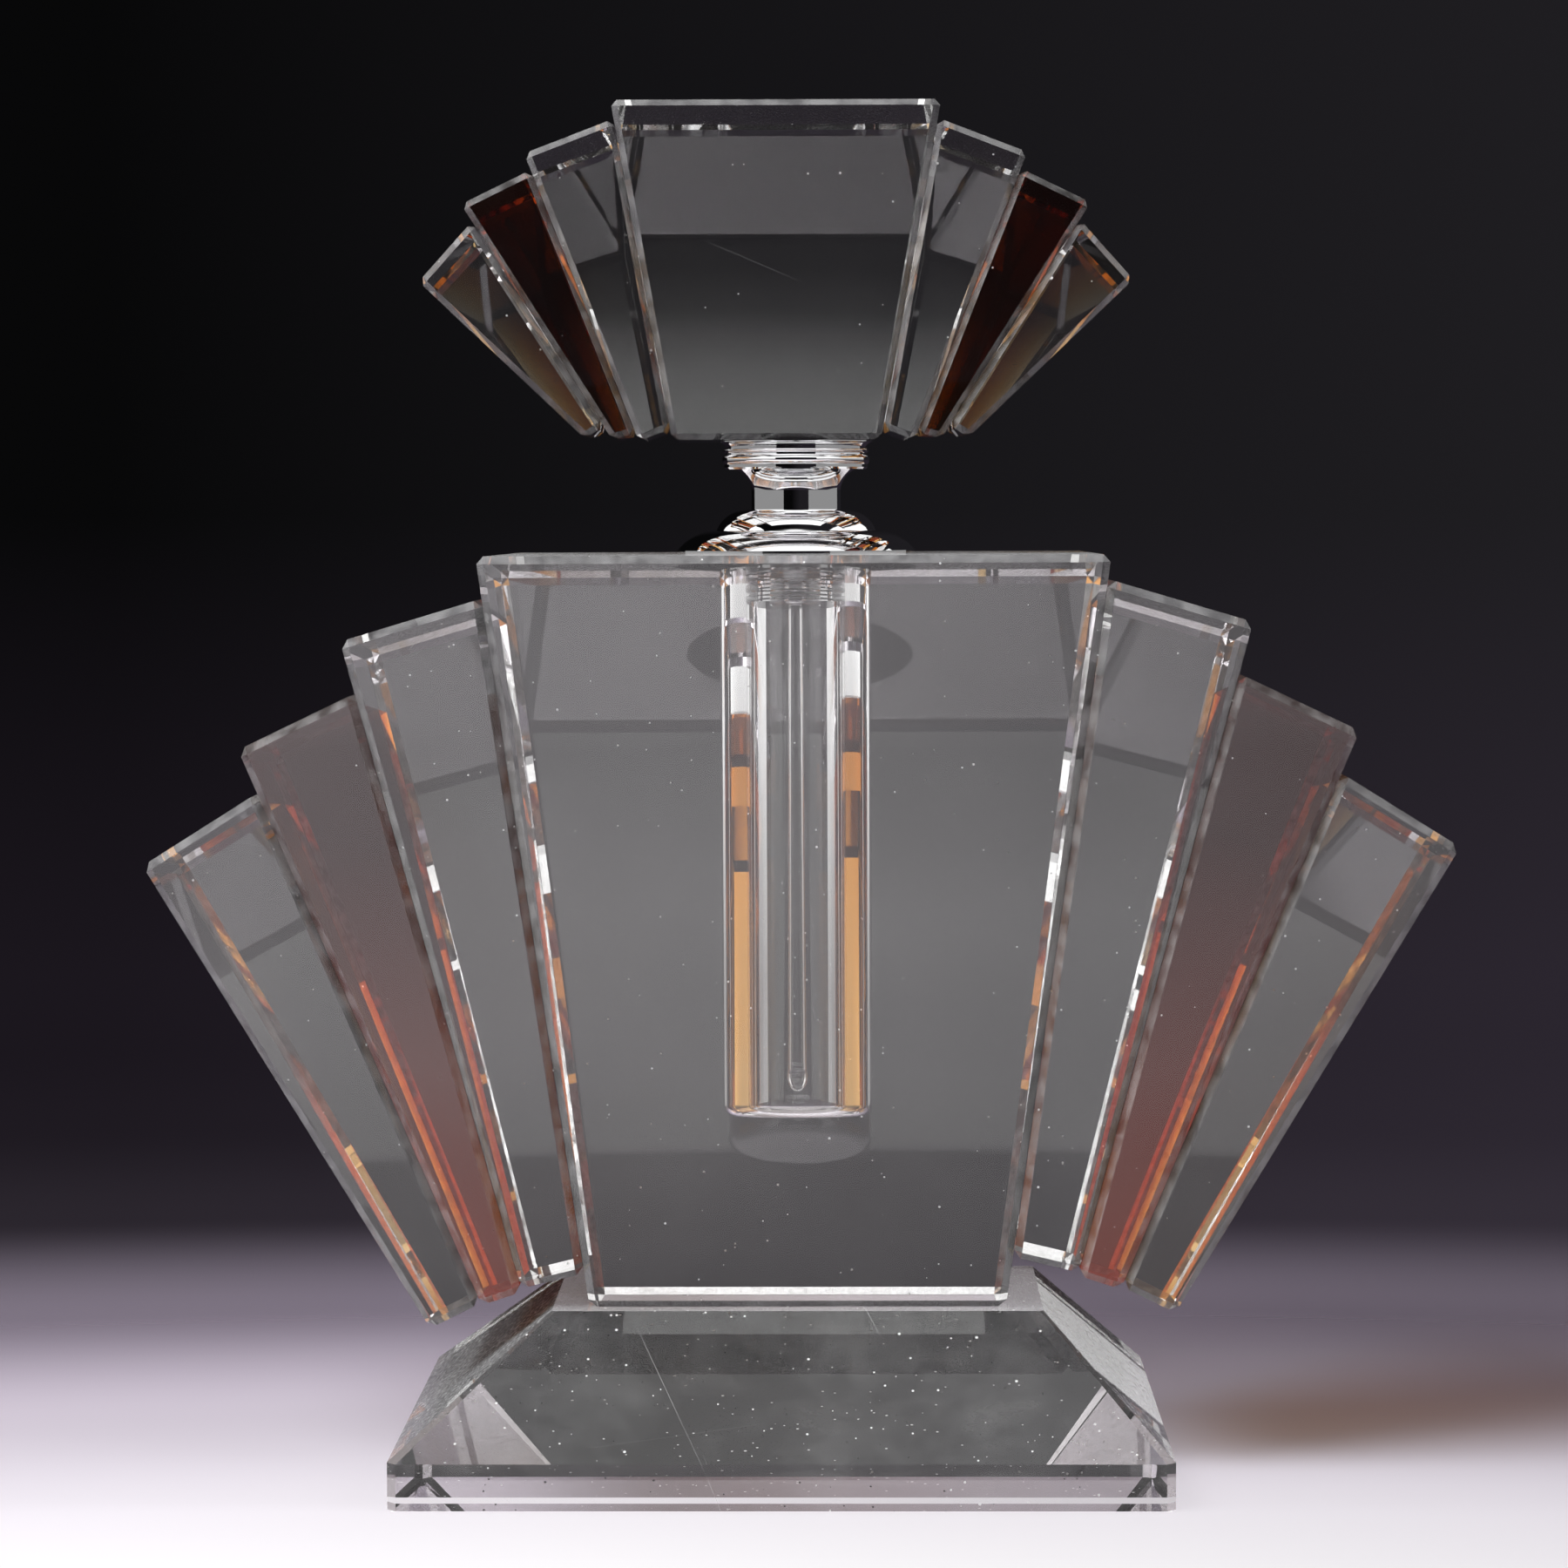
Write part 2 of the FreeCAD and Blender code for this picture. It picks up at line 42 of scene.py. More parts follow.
class Graph:
    """Builds a material's or the world's node tree from short calls."""

    def __init__(self, tree):
        self.tree = tree
        self.tree.nodes.clear()

    def add(self, kind, inputs=None, **settings):
        """Adds a node. A value in inputs is a constant or another node's output socket."""
        node = self.tree.nodes.new(kind)
        for key, setting in settings.items():
            setattr(node, key, setting)
        for key, given in (inputs or {}).items():
            if isinstance(given, bpy.types.NodeSocket):
                self.tree.links.new(given, node.inputs[key])
            else:
                node.inputs[key].default_value = given
        return node

    def maths(self, operation, *values):
        """The result of a math node."""
        return self.add("ShaderNodeMath", dict(enumerate(values)), operation=operation).outputs[0]

    def vector(self, operation, *values):
        """The vector that a vector math node gives."""
        return self.add("ShaderNodeVectorMath", dict(enumerate(values)), operation=operation).outputs[0]

    def split(self, vector):
        """The X, Y and Z of a vector."""
        return self.add("ShaderNodeSeparateXYZ", {"Vector": vector}).outputs

    def span(self, given, low, high, to_low=0.0, to_high=1.0):
        """Maps a value from one range to another, clamped."""
        inputs = {"Value": given, "From Min": low, "From Max": high, "To Min": to_low, "To Max": to_high}
        return self.add("ShaderNodeMapRange", inputs).outputs["Result"]

    def noise(self, place, scale, detail=2.0, roughness=0.5):
        """A noise value at a place."""
        inputs = {"Vector": place, "Scale": scale, "Detail": detail, "Roughness": roughness}
        return self.add("ShaderNodeTexNoise", inputs).outputs["Fac"]

    def blend(self, factor, first, second):
        """Mixes two shaders."""
        return self.add("ShaderNodeMixShader", {0: factor, 1: first, 2: second}).outputs[0]

    def surface(self, shader, volume=None):
        """Ends the graph of a material."""
        inputs = {"Surface": shader}
        if volume:
            inputs["Volume"] = volume
        self.add("ShaderNodeOutputMaterial", inputs)


def new_material(name):
    """An empty material and its graph."""
    material = bpy.data.materials.new(name)
    material.use_nodes = True
    return material, Graph(material.node_tree)


# ------------------------------------------------------------------ glass

# the colour of the veil of dust, which also paints the bevels' highlights
DUST_AND_HIGHLIGHT_COLOUR = (0.8, 0.8, 0.8, 1)
HAIR_WAVE = {"Distortion": 6.0, "Detail": 1.0, "Detail Scale": 0.25}
HAIR_BREAKS = (0.62, 0.66)
HAIR_BREAK_SCALE = 0.9

SPECK_CELLS = 700.0
SPECK_SHARE = 0.3
SPECK_REACH = 0.12
SPECK_VEIL = 0.8
HAIR_SCALE = 25.0
HAIR_TURN = (0.3, 0.7, 1.1)
HAIR_WIDTH = 0.003
HAIR_VEIL = 0.3
HAZE_SCALE = 45.0
HAZE_VEIL = (0.02, 0.05)
LEVEL_FACE = (0.80, 0.97)
SETTLED_SCALE = 3500.0
SETTLED_VEIL = (0.14, 0.36)

# painted highlights on the bevels: which faces they lie on, the scale of their patches and how white they
# are
BEVEL_FACING = (0.4, 0.93)
BEVEL_SCALE = 400.0
BEVEL_HIGHLIGHT_VEIL = (0.06, 0.24)

CHIP_CELLS = 600.0
CHIP_SHARE = 0.9
CHIP_REACH = 0.12
CHIP_VEIL = 0.9
LONG_HAIRS = (11.0, (1.2, 0.4, 0.2), 0.004)
CROSS_HAIRS = (9.0, (0.2, 1.3, 0.9), 0.003)
LONG_HAIR_VEIL = 0.5
SMEAR_SCALE = 55.0
SMEAR_VEIL = 0.10
END_FACING = (0.45, 0.55)
END_UPWARD = (0.1, 0.3)
FILM_SCALE = 1500.0
FILM_VEIL = (0.12, 0.34)


def scratches(graph, place, scale, turn, width):
    """Fine curved hairlines, from a stretched and distorted wave that noise breaks up."""
    turned = graph.add("ShaderNodeMapping", {"Vector": place, "Rotation": turn}).outputs[0]
    wave = graph.add(
        "ShaderNodeTexWave", {"Vector": turned, "Scale": scale, **HAIR_WAVE}, wave_profile="TRI"
    ).outputs["Fac"]
    line = graph.span(wave, 1.0 - width, 1.0)
    breaks = graph.span(graph.noise(turned, scale * HAIR_BREAK_SCALE), *HAIR_BREAKS)
    return graph.maths("MULTIPLY", line, breaks)


def dust(graph, place, scale, share, reach):
    """Specks: the cores of some cells of a fine cell pattern. share is how many cells have one and
    reach how large it may be, as part of a cell."""
    cells = graph.add("ShaderNodeTexVoronoi", {"Vector": place, "Scale": scale}).outputs
    random = graph.add("ShaderNodeSeparateColor", {"Color": cells["Color"]}).outputs
    size = graph.span(random[0], 1.0 - share, 1.0, 0.0, reach)
    return graph.maths("LESS_THAN", cells["Distance"], size)


def outward_normal(graph):
    """The surface's outward normal in the piece's own frame, the same from both of its sides."""
    geometry = graph.add("ShaderNodeNewGeometry").outputs
    flip = graph.span(geometry["Backfacing"], 0.0, 1.0, 1.0, -1.0)
    local = graph.add(
        "ShaderNodeVectorTransform", {"Vector": geometry["True Normal"]},
        vector_type="NORMAL", convert_from="WORLD", convert_to="OBJECT",
    ).outputs[0]
    return graph.add("ShaderNodeVectorMath", {0: local, "Scale": flip}, operation="SCALE").outputs[0]


def painted_bevel_highlights(graph, place, outward, hollow):
    """Painted highlights: a whitish veil, patchy by noise, on the narrow bevels between the front or
    back and the other faces. hollow is a radius about the piece's axis inside which there are none."""
    facing = graph.maths("ABSOLUTE", graph.split(outward)["Y"])
    bevel = graph.maths("MULTIPLY", graph.maths("GREATER_THAN", facing, BEVEL_FACING[0]),
                        graph.maths("LESS_THAN", facing, BEVEL_FACING[1]))
    level = graph.vector("MULTIPLY", place, (1.0, 1.0, 0.0))
    radius = graph.add("ShaderNodeVectorMath", {0: level}, operation="LENGTH").outputs["Value"]
    bevel = graph.maths("MULTIPLY", bevel, graph.maths("GREATER_THAN", radius, hollow))
    veil = graph.span(graph.noise(place, BEVEL_SCALE, 3.0), 0.35, 0.65, *BEVEL_HIGHLIGHT_VEIL)
    return graph.maths("MULTIPLY", bevel, veil)


def handling_marks(graph, place, outward):
    """Larger specks, long scratches, smudges and a film of dust on the sloping ends, on the
    plinth."""
    chips = graph.maths("MULTIPLY", dust(graph, place, CHIP_CELLS, CHIP_SHARE, CHIP_REACH), CHIP_VEIL)
    both = graph.maths("ADD", scratches(graph, place, *LONG_HAIRS), scratches(graph, place, *CROSS_HAIRS))
    hairs = graph.maths("MULTIPLY", both, LONG_HAIR_VEIL)
    smears = graph.span(graph.noise(place, SMEAR_SCALE, 8.0, 0.65), 0.5, 0.85, 0.0, SMEAR_VEIL)
    parts = graph.split(outward)
    sloping_end = graph.span(graph.maths("ABSOLUTE", parts["X"]), *END_FACING)
    upward = graph.span(parts["Z"], *END_UPWARD)
    veil = graph.span(graph.noise(place, FILM_SCALE, 3.0), 0.4, 0.65, *FILM_VEIL)
    film = graph.maths("MULTIPLY", graph.maths("MULTIPLY", sloping_end, upward), veil)
    marks = graph.maths("ADD", graph.maths("ADD", chips, hairs), smears)
    return graph.maths("ADD", marks, film)


def glass_shader(graph, dusty, outward, worn, hollow, glow):
    """Polished glass with a thin veil of dust, thicker on level tops, and hairline scratches. Given
    hollow, the same whitish veil also paints highlights on the bevels.
    """
    place = graph.add("ShaderNodeTexCoord").outputs["Object"]
    glass = graph.add(
        "ShaderNodeBsdfGlass", {"Color": (1.0, 1.0, 1.0, 1), "Roughness": 0.0, "IOR": GLASS_IOR}
    ).outputs[0]
    veil = graph.add("ShaderNodeBsdfDiffuse", {"Color": DUST_AND_HIGHLIGHT_COLOUR}).outputs[0]
    specks = dust(graph, place, SPECK_CELLS, SPECK_SHARE * dusty, SPECK_REACH)
    specks = graph.maths("MULTIPLY", specks, SPECK_VEIL)
    hairs = graph.maths("MULTIPLY", scratches(graph, place, HAIR_SCALE, HAIR_TURN, HAIR_WIDTH), HAIR_VEIL)
    haze = graph.noise(place, HAZE_SCALE, 4.0)
    haze = graph.span(haze, 0.4, 0.75, *(veil_share * dusty for veil_share in HAZE_VEIL))
    grains = graph.span(graph.noise(place, SETTLED_SCALE, 3.0), 0.40, 0.65, *SETTLED_VEIL)
    settled = graph.maths("MULTIPLY", graph.span(graph.split(outward)["Z"], *LEVEL_FACE), grains)
    marks = graph.maths("ADD", graph.maths("ADD", specks, hairs), graph.maths("ADD", haze, settled))
    # painted highlights on the bevels join the dust marks here
    if hollow is not None:
        marks = graph.maths("ADD", marks, painted_bevel_highlights(graph, place, outward, hollow))
    if worn:
        marks = graph.maths("ADD", marks, handling_marks(graph, place, outward))
    shader = graph.blend(graph.maths("MINIMUM", marks, 1.0), glass, veil)
    if glow:
        shader = graph.add("ShaderNodeAddShader", {0: shader, 1: glow(graph, place)}).outputs[0]
    return shader


def shadow_clear(graph, shader, colour):
    """Lets light through to what lies behind, tinted, in place of a black shadow."""
    path = graph.add("ShaderNodeLightPath").outputs["Is Shadow Ray"]
    clear = graph.add("ShaderNodeBsdfTransparent", {"Color": colour}).outputs[0]
    return graph.blend(path, shader, clear)


FAR = 1.0
SAME_FACE = 0.999
SIDE_MAX_Y = 0.2
SIDE_MIN_X = 0.5
DOWNWARD = -0.99


def make_glass(name, absorb, shade, bonds, dusty, worn, hollow, glow):
    """A glass material. Each bond is a face's outward normal and two opposite corners of a box:
    inside the box that face is cemented to its neighbour and shows no surface. One material serves
    all faces of a piece, so that light leaves the same volume that it entered."""
    material, graph = new_material(name)
    outward = outward_normal(graph)
    shader = glass_shader(graph, dusty, outward, worn, hollow, glow)
    shader = shadow_clear(graph, shader, shade)
    if bonds:
        place = graph.add("ShaderNodeTexCoord").outputs["Object"]
        bonded = 0.0
        for normal, low, high in bonds:
            along = graph.add("ShaderNodeVectorMath", {0: outward, 1: normal}, operation="DOT_PRODUCT")
            aligned = graph.maths("GREATER_THAN", along.outputs["Value"], SAME_FACE)
            middle = (Vector(low) + Vector(high)) / 2
            reach = (Vector(high) - Vector(low)) / 2
            off = graph.vector("ABSOLUTE", graph.vector("SUBTRACT", place, middle))
            sides = graph.split(graph.vector("SUBTRACT", off, reach))
            nearest = graph.maths("MAXIMUM", graph.maths("MAXIMUM", sides[0], sides[1]), sides[2])
            inside = graph.maths("LESS_THAN", nearest, 0.0)
            bonded = graph.maths("MAXIMUM", bonded, graph.maths("MULTIPLY", aligned, inside))
        through = graph.add("ShaderNodeBsdfTransparent", {"Color": (1, 1, 1, 1)}).outputs[0]
        shader = graph.blend(bonded, shader, through)
    volume = graph.add(
        "ShaderNodeVolumeAbsorption", {"Color": absorb[0], "Density": absorb[1]}
    ).outputs[0]
    graph.surface(shader, volume)
    return material


def side_bond(node, side, span):
    """The bond of a node's side face, towards -X or +X, between two heights."""
    faces = [face for face in nodes[node].data.polygons
             if abs(face.normal.y) < SIDE_MAX_Y and face.normal.x * side > SIDE_MIN_X]
    normal = max(faces, key=lambda face: face.area).normal
    return tuple(normal), (-FAR, -FAR, span[0]), (FAR, FAR, span[1])


def dress_glass(node, absorb, shade, bonds=(), dusty=1.0, worn=False, hollow=None, glow=None):
    """Gives a node its glass."""
    mesh = nodes[node].data
    mesh.materials.clear()
    mesh.materials.append(make_glass(node + "_glass", absorb, shade, bonds, dusty, worn, hollow, glow))


AMBER_GLOW_COLOUR = (1.0, 0.13, 0.03, 1)
AMBER_GLOW_HEIGHTS = (0.085, 0.03)
AMBER_GLOW_STRENGTHS = (0.012, 0.075)


def amber_glow(graph, place):
    """A weak emission in place of the light that an amber blade of the bottle carries down inside
    itself: red-brown, stronger towards the foot."""
    strength = graph.span(graph.split(place)["Z"], *AMBER_GLOW_HEIGHTS, *AMBER_GLOW_STRENGTHS)
    inputs = {"Color": AMBER_GLOW_COLOUR, "Strength": strength}
    return graph.add("ShaderNodeEmission", inputs).outputs[0]


# how much light one surface of a piece lets into the shadow behind it
PLINTH_SHADE = (0.96, 0.96, 0.96, 1)
BLOCK_SHADE = (0.80, 0.79, 0.79, 1)
BLADE_SHADE = (0.52, 0.49, 0.47, 1)
BORE_CLEAR = 0.0105
CLEAR_ABSORB = ((0.90, 0.90, 0.885, 1), 4.0)
AMBER_ABSORB = ((0.81, 0.548, 0.048, 1), 215.0)


def inner_height(node, side):
    """(lowest, highest) point of the node's face towards the middle."""
    points = []
    for face in nodes[node].data.polygons:
        normal = face.normal
        if abs(normal.y) < SIDE_MAX_Y and normal.x * side < -SIDE_MIN_X and normal.z > 0:
            points += [nodes[node].data.vertices[index].co.z for index in face.vertices]
    return min(points), max(points)


def foot_box():
    """The box round the reservoir block's underside, a little thicker than the joint."""
    block = nodes["reservoir_block"].data
    foot = [face for face in block.polygons if face.normal.z < DOWNWARD]
    points = [block.vertices[index].co for face in foot for index in face.vertices]
    low = [min(point[axis] for point in points) for axis in range(3)]
    high = [max(point[axis] for point in points) for axis in range(3)]
    return (low[0], low[1], low[2] - MM), (high[0], high[1], high[2] + MM)


foot_low, foot_high = foot_box()
dustiness = {"bottle": 1.0, "stopper": 0.35}
AMBER_DUST = 0.4
PLINTH_DUST = 0.3
for prefix, middle in (("bottle", "reservoir_block"), ("stopper", "stopper_block")):
    block_bonds = []
    for side_name, side in (("left", -1), ("right", 1)):
        chain = [f"{prefix}_{side_name}_{kind}_blade" for kind in ("inner", "amber", "outer")]
        spans = [inner_height(blade, side) for blade in chain]
        block_bonds.append(side_bond(middle, side, spans[0]))
        for index, blade in enumerate(chain):
            amber = "amber" in blade
            bonds = [side_bond(blade, -side, spans[index])]
            if index + 1 < len(chain):
                bonds.append(side_bond(blade, side, spans[index + 1]))
            glow = amber_glow if amber and prefix == "bottle" else None
            absorb = AMBER_ABSORB if amber else CLEAR_ABSORB
            dusty = dustiness[prefix] * (AMBER_DUST if amber else 1.0)
            dress_glass(blade, absorb, BLADE_SHADE, bonds, dusty, hollow=0.0, glow=glow)
    if prefix == "bottle":
        block_bonds.append(((0.0, 0.0, -1.0), foot_low, foot_high))
    hollow = BORE_CLEAR if prefix == "bottle" else 0.0
    dress_glass(middle, CLEAR_ABSORB, BLOCK_SHADE, block_bonds, dustiness[prefix], hollow=hollow)

top_bond = ((0.0, 0.0, 1.0), foot_low, foot_high)
dress_glass("plinth", CLEAR_ABSORB, PLINTH_SHADE, [top_bond], PLINTH_DUST, worn=True)
dress_glass("dipper_rod", CLEAR_ABSORB, BLOCK_SHADE, dusty=0.0)


# ------------------------------------------------------------------ metal and polymer

CHROME_SMEAR_SCALE = 300.0
CHROME_ROUGHNESS = (0.02, 0.07)


def make_chrome():
    """Bright plated metal with faint handling marks."""
    material, graph = new_material("chrome_plate")
    place = graph.add("ShaderNodeTexCoord").outputs["Object"]
    smear = graph.span(graph.noise(place, CHROME_SMEAR_SCALE, 4.0), 0.35, 0.75, *CHROME_ROUGHNESS)
    metal = graph.add(
        "ShaderNodeBsdfPrincipled",
        {"Base Color": (0.86, 0.86, 0.87, 1), "Metallic": 1.0, "Roughness": smear},
    ).outputs[0]
    graph.surface(metal)
    return material


def make_polymer():
    """Clear moulded polymer."""
    material, graph = new_material("clear_polymer")
    glass = graph.add(
        "ShaderNodeBsdfGlass", {"Color": (0.97, 0.97, 0.97, 1), "Roughness": 0.04, "IOR": 1.49}
    ).outputs[0]
    graph.surface(shadow_clear(graph, glass, (0.9, 0.9, 0.9, 1)))
    return material


def make_rubber():
    """Translucent silicone."""
    material, graph = new_material("seal_rubber")
    rubber = graph.add(
        "ShaderNodeBsdfPrincipled",
        {"Base Color": (0.8, 0.8, 0.78, 1), "Roughness": 0.35, "Transmission Weight": 0.5, "IOR": 1.41},
    ).outputs[0]
    graph.surface(rubber)
    return material


def dress(names, material):
    """Gives each named node one material."""
    for name in names:
        nodes[name].data.materials.clear()
        nodes[name].data.materials.append(material)


dress(["neck_collar", "stopper_ferrule"], make_chrome())
dress(["neck_sleeve", "stopper_plug"], make_polymer())
dress(["plug_seal_lower", "plug_seal_upper"], make_rubber())


# ------------------------------------------------------------------ stage

def make_plane(name, corners):
    """A flat four-sided mesh."""
    mesh = bpy.data.meshes.new(name)
    mesh.from_pydata([Vector(corner) for corner in corners], [], [(0, 1, 2, 3)])
    obj = bpy.data.objects.new(name, mesh)
    bpy.context.scene.collection.objects.link(obj)
    return obj


def ramp(graph, given, stops, curve="LINEAR"):
    """A colour ramp. Each stop is a place from 0 to 1 and a grey or a colour."""
    node = graph.add("ShaderNodeValToRGB", {"Fac": given})
    node.color_ramp.interpolation = curve
    elements = node.color_ramp.elements
    while len(elements) < len(stops):
        elements.new(0.5)
    for element, (place, shade) in zip(elements, stops):
        element.position = place
        element.color = (*shade, 1) if isinstance(shade, tuple) else (shade, shade, shade, 1)
    return node.outputs["Color"]


FLOOR_DROP = 0.0002
FLOOR_REACH = 3.0
# the painted pool of light on the floor: its size, its middle just in front of the object, its stretch,
# and how it fades out and tints with distance
LIGHT_POOL_SPAN = 0.6
LIGHT_POOL_SHIFT = (0.0, 0.15, 0.0)
LIGHT_POOL_STRETCH = (0.6, 1.0, 1.0)
GATHERED_COLOUR = (1.0, 0.97, 0.99, 1)
GATHERED = 0.28
GATHERED_INSET = 0.0005
LIGHT_POOL_FADE = [(0.20, 1.0), (0.305, 0.80), (0.433, 0.27), (0.58, 0.02), (0.78, 0.004), (1.0, 0.0)]
LIGHT_POOL_TINT = [(0.15, (0.86, 0.84, 0.86)), (0.42, (0.80, 0.68, 0.86))]


def make_floor():
    """A floor with a painted pool of light: pale round a spot just in front of the object, it turns
    violet-grey and fades into the dark surroundings further off. It lies a hair below the plinth, so
    that the plinth's underside mirrors as polished glass on a table does. Under the plinth it glows a
    little, for the light that the glass gathers there."""
    reach = FLOOR_REACH
    low = -FLOOR_DROP
    floor = make_plane("floor", [(-reach, -reach, low), (reach, -reach, low), (reach, reach, low),
                                 (-reach, reach, low)])
    plinth_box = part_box("plinth")
    plinth_middle = (plinth_box[0] + plinth_box[1]) / 2
    plinth_half = (plinth_box[1] - plinth_box[0]) / 2
    material, graph = new_material("floor_painted_light_pool")
    place = graph.add("ShaderNodeTexCoord").outputs["Object"]
    spot = graph.add(
        "ShaderNodeMapping", {"Vector": place, "Location": LIGHT_POOL_SHIFT, "Scale": LIGHT_POOL_STRETCH}
    ).outputs[0]
    away = graph.add("ShaderNodeVectorMath", {0: spot}, operation="LENGTH").outputs["Value"]
    away = graph.maths("DIVIDE", away, LIGHT_POOL_SPAN)
    pale = graph.add(
        "ShaderNodeBsdfPrincipled",
        {"Base Color": ramp(graph, away, LIGHT_POOL_TINT), "Roughness": 0.6, "Specular IOR Level": 0.2},
    ).outputs[0]
    clear = graph.add("ShaderNodeBsdfTransparent", {"Color": (1, 1, 1, 1)}).outputs[0]
    parts = graph.split(place)
    off_x = graph.maths("ABSOLUTE", graph.maths("SUBTRACT", parts["X"], plinth_middle.x))
    off_y = graph.maths("ABSOLUTE", graph.maths("SUBTRACT", parts["Y"], plinth_middle.y))
    under = graph.maths("MULTIPLY", graph.maths("LESS_THAN", off_x, plinth_half.x - GATHERED_INSET),
                        graph.maths("LESS_THAN", off_y, plinth_half.y - GATHERED_INSET))
    gathered = graph.add(
        "ShaderNodeEmission",
        {"Color": GATHERED_COLOUR, "Strength": graph.maths("MULTIPLY", under, GATHERED)},
    ).outputs[0]
    pale = graph.add("ShaderNodeAddShader", {0: pale, 1: gathered}).outputs[0]
    # painted light falloff: the floor shows less and less of itself away from the pool's middle
    painted_falloff = ramp(graph, away, LIGHT_POOL_FADE, "EASE")
    graph.surface(graph.blend(painted_falloff, clear, pale))
    floor.data.materials.append(material)


# where in the view's direction the surroundings begin and end to change: left to right, and from
# level with the stopper down to the floor
VIEW_RIGHT = (-0.173, 0.191)
VIEW_DOWN = (0.0016, -0.105)
UPPER_DARK = [(0.0, (0.0024, 0.0024, 0.0026)), (1.0, (0.0145, 0.0135, 0.016))]
LOWER_DARK = [(0.0, (0.0110, 0.0085, 0.0125)), (1.0, (0.0250, 0.0200, 0.0290))]


def make_world():
    """Dark surroundings, lighter to the right and violet-grey near the floor."""
    world = bpy.data.worlds.new("surroundings")
    world.use_nodes = True
    bpy.context.scene.world = world
    graph = Graph(world.node_tree)
    way = graph.add("ShaderNodeTexCoord").outputs["Generated"]
    parts = graph.split(way)
    right = graph.span(parts["X"], *VIEW_RIGHT)
    low = graph.span(parts["Z"], *VIEW_DOWN)
    upper = ramp(graph, right, UPPER_DARK)
    lower = ramp(graph, right, LOWER_DARK)
    mixed = graph.add("ShaderNodeMixRGB", {"Fac": low, "Color1": upper, "Color2": lower}).outputs[0]
    glow = graph.add("ShaderNodeBackground", {"Color": mixed, "Strength": 1.0}).outputs[0]
    graph.add("ShaderNodeOutputWorld", {"Surface": glow})


CENTRE = Vector((0, 0, 0.09))


def area_light(name, place, size, power):
    """A soft rectangular lamp that only lights: cards stand for it in reflections."""
    light = bpy.data.lights.new(name, "AREA")
    light.shape = "RECTANGLE"
    light.size, light.size_y = size
    light.energy = power
    obj = bpy.data.objects.new(name, light)
    obj.location = place
    obj.rotation_euler = (CENTRE - Vector(place)).to_track_quat("-Z", "Y").to_euler()
    obj.visible_camera = False
    obj.visible_glossy = False
    obj.visible_transmission = False
    bpy.context.scene.collection.objects.link(obj)


def make_card(name, corners, brightness, colour=(1.0, 1.0, 1.0, 1)):
    """A glowing card that shows only in reflections and through glass. brightness builds its
    strength from its graph and the place on it."""
    card = make_plane(name, corners)
    material, graph = new_material(name)
    place = graph.add("ShaderNodeTexCoord").outputs["Object"]
    strength = brightness(graph, graph.split(place))
    graph.surface(graph.add("ShaderNodeEmission", {"Color": colour, "Strength": strength}).outputs[0])
    card.data.materials.append(material)
    card.visible_camera = False
    card.visible_diffuse = False
    card.visible_shadow = False
    card.visible_volume_scatter = False


def even(strength):
    """The same brightness all over a card."""
    return lambda graph, parts: strength


def side_glow(low, high):
    """A card that is dimmer near the floor and brighter above it."""
    return lambda graph, parts: graph.span(parts["Z"], *SIDE_RISE, low, high)


LEFT_X = -0.8
RIGHT_X = 0.85
SIDE_BACK_Y = 0.8
SIDE_FRONT_Y = -1.3
SIDE_TOP = 1.0
SIDE_RISE = (0.15, 0.35)
SIDE_LOW_GLOW = 0.3
TOP_HALF_WIDTH = 0.5
TOP_HALF_DEPTH = 0.4
TOP_Z = 1.05
FRONT_PANEL_Y = -0.75
PANEL_HALF_WIDTH = 0.8
FRONT_FLOOR_HALF_WIDTH = 0.5
FRONT_FLOOR_Z = 0.001
FRONT_FLOOR_COLOUR = (1.0, 0.95, 1.0, 1)
FRONT_FLOOR_RIGHT = (-0.03, 0.09, 1.0, 0.62)
FRONT_PANEL_SPAN = (0.45, 1.05)
FRONT_PANEL_GLOW = [
    (0.483, 0.0), (0.486, 1.2), (0.52, 1.1), (0.585, 1.6), (0.66, 0.95),
    (0.85, 2.4), (0.905, 2.6), (0.935, 1.7), (0.97, 0.35), (1.0, 0.05),
]
FRONT_FLOOR_SPAN = (-0.47, -0.03)
FRONT_FLOOR_GLOW = [
    (-0.46, 0.0), (-0.43, 0.05), (-0.40, 1.2), (-0.36, 2.7), (-0.285, 2.7), (-0.27, 2.4),
    (-0.13, 2.45), (-0.10, 1.9), (-0.07, 1.6), (-0.04, 0.8),
]


def graded(axis, span, glow):
    """A card whose brightness changes along one axis as listed."""
    reach = span[1] - span[0]
    stops = [((place - span[0]) / reach, strength) for place, strength in glow]
    return lambda graph, parts: ramp(graph, graph.span(parts[axis], span[0], span[1]), stops)


def front_floor_glow(graph, parts):
    """The lit floor in front of the object, brighter on the left, which the leaning front faces of
    the glass mirror."""
    glow = graded("Y", FRONT_FLOOR_SPAN, FRONT_FLOOR_GLOW)(graph, parts)
    return graph.maths("MULTIPLY", glow, graph.span(parts["X"], *FRONT_FLOOR_RIGHT))


def flat(half_width, front, back, height):
    """The corners of a level card between two depths."""
    return [(-half_width, front, height), (half_width, front, height),
            (half_width, back, height), (-half_width, back, height)]


def upright(x0, y0, x1, y1, low, high):
    """The corners of an upright card between two places."""
    return [(x0, y0, low), (x1, y1, low), (x1, y1, high), (x0, y0, high)]


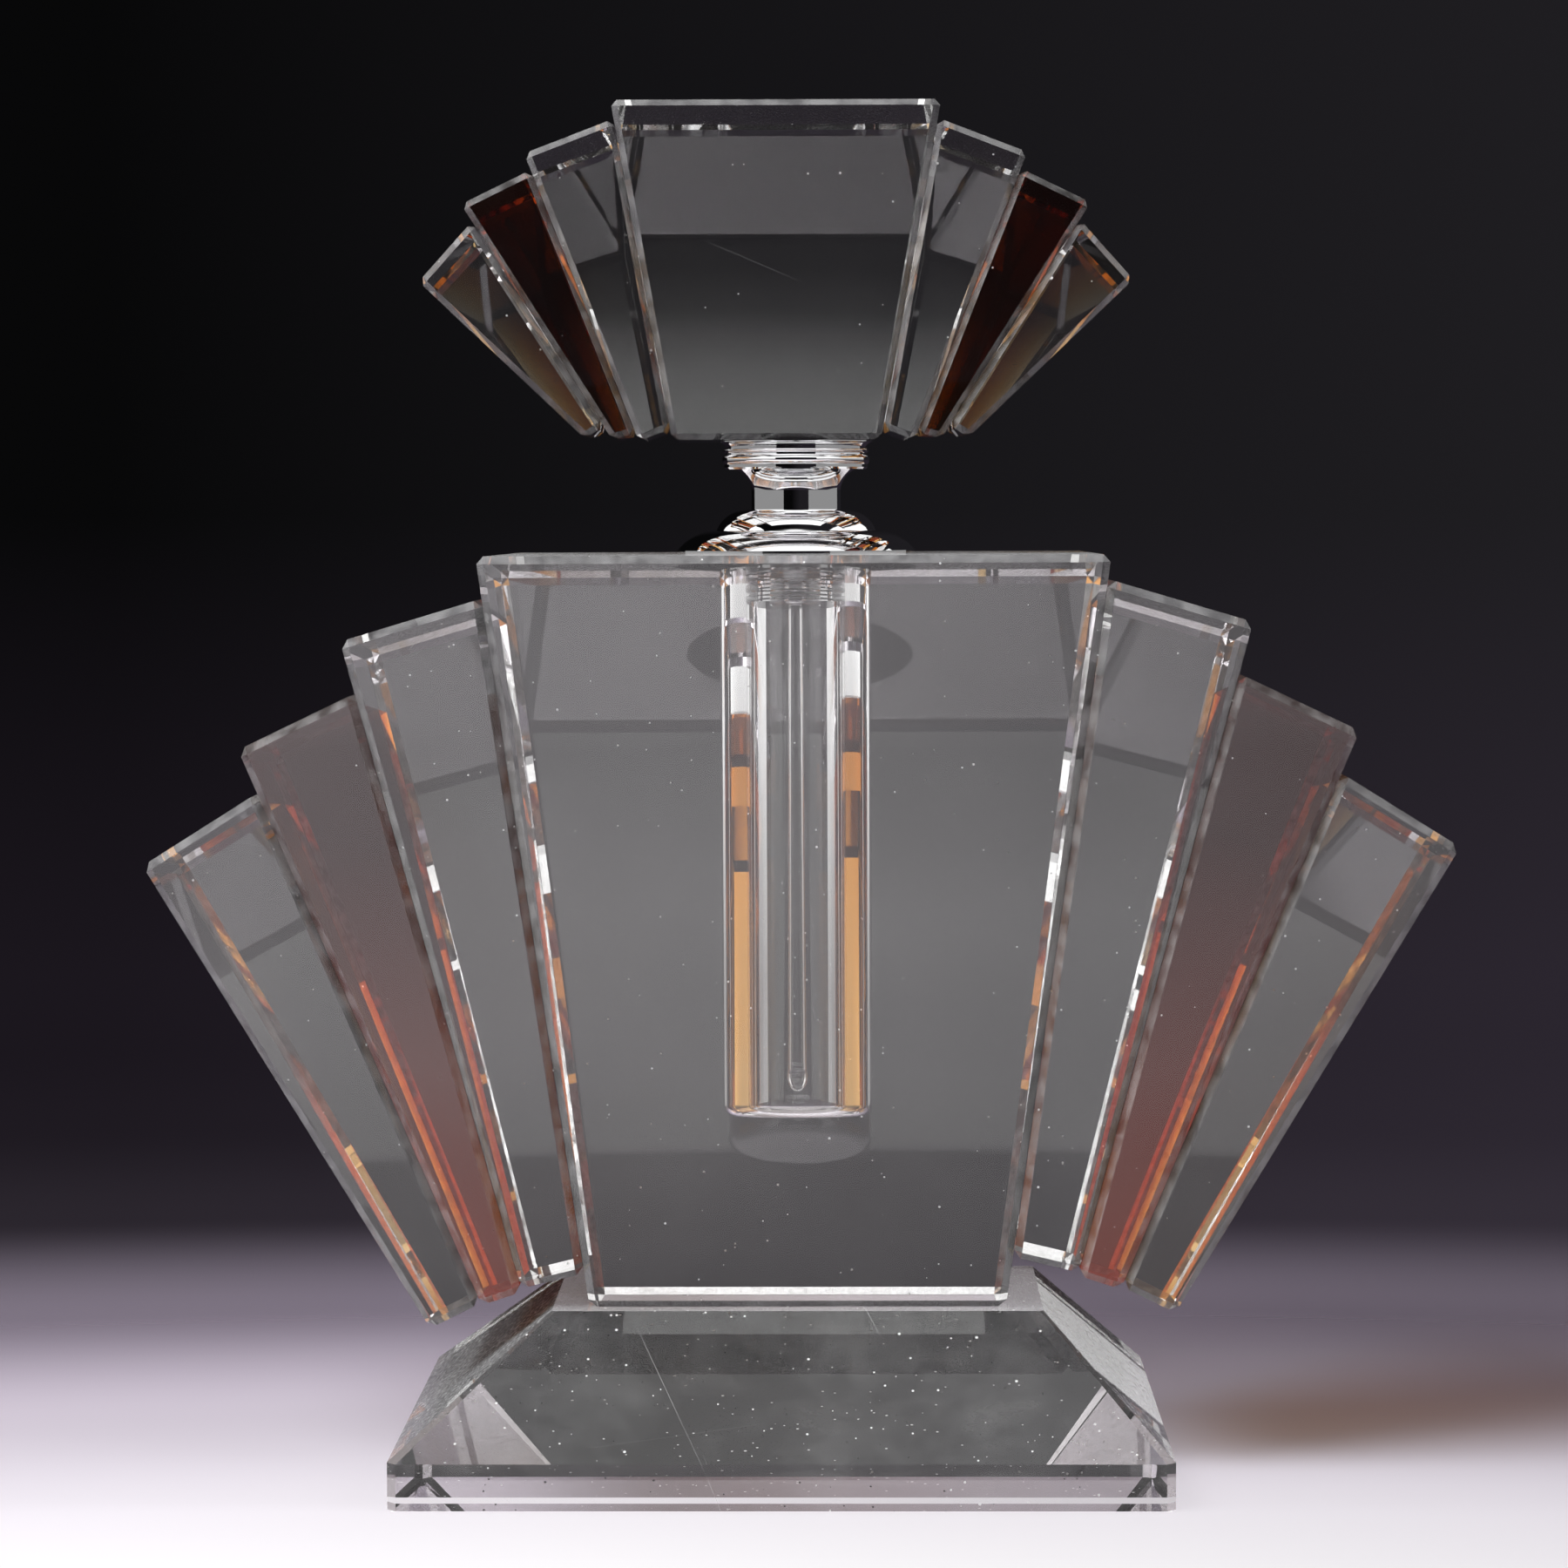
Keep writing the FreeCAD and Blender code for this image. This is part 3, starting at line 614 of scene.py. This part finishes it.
make_floor()
make_world()
area_light("key_left", (-0.45, -0.35, 0.75), (0.5, 0.5), 11.0)
area_light("fill_right", (0.8, -0.3, 0.5), (0.4, 0.7), 2.0)
for card_name, card_x, brightest in (("left_card", LEFT_X, 1.3), ("right_card", RIGHT_X, 1.2)):
    corners = upright(card_x, SIDE_BACK_Y, card_x, SIDE_FRONT_Y, 0.0, SIDE_TOP)
    make_card(card_name, corners, side_glow(SIDE_LOW_GLOW, brightest))
make_card("top_card", flat(TOP_HALF_WIDTH, -TOP_HALF_DEPTH, TOP_HALF_DEPTH, TOP_Z), even(1.5))
make_card("front_panel", upright(-PANEL_HALF_WIDTH, FRONT_PANEL_Y, PANEL_HALF_WIDTH, FRONT_PANEL_Y,
                                 *FRONT_PANEL_SPAN),
          graded("Z", FRONT_PANEL_SPAN, FRONT_PANEL_GLOW))
make_card("front_floor", flat(FRONT_FLOOR_HALF_WIDTH, *FRONT_FLOOR_SPAN, FRONT_FLOOR_Z),
          front_floor_glow, FRONT_FLOOR_COLOUR)


def make_camera():
    """The photograph's camera."""
    forward = Vector((
        math.sin(CAMERA_RIGHT) * math.cos(CAMERA_DOWN),
        math.cos(CAMERA_RIGHT) * math.cos(CAMERA_DOWN),
        -math.sin(CAMERA_DOWN),
    ))
    level = Vector((math.cos(CAMERA_RIGHT), -math.sin(CAMERA_RIGHT), 0))
    above = level.cross(forward)
    right = math.cos(CAMERA_ROLL) * level + math.sin(CAMERA_ROLL) * above
    up = math.cos(CAMERA_ROLL) * above - math.sin(CAMERA_ROLL) * level
    data = bpy.data.cameras.new("camera")
    data.lens = CAMERA_LENS_MM
    data.sensor_width = CAMERA_SENSOR_MM
    data.clip_start = CAMERA_NEAREST
    camera = bpy.data.objects.new("camera", data)
    turn = Matrix((right, up, -forward)).transposed()
    camera.matrix_world = Matrix.Translation(CAMERA_PLACE) @ turn.to_4x4()
    bpy.context.scene.collection.objects.link(camera)
    bpy.context.scene.camera = camera


make_camera()

BOUNCES = 24
CLEAR_BOUNCES = 32

scene = bpy.context.scene
scene.view_settings.view_transform = "Standard"
scene.cycles.max_bounces = BOUNCES
scene.cycles.transmission_bounces = BOUNCES
scene.cycles.transparent_max_bounces = CLEAR_BOUNCES
scene.cycles.caustics_reflective = False
scene.cycles.caustics_refractive = False
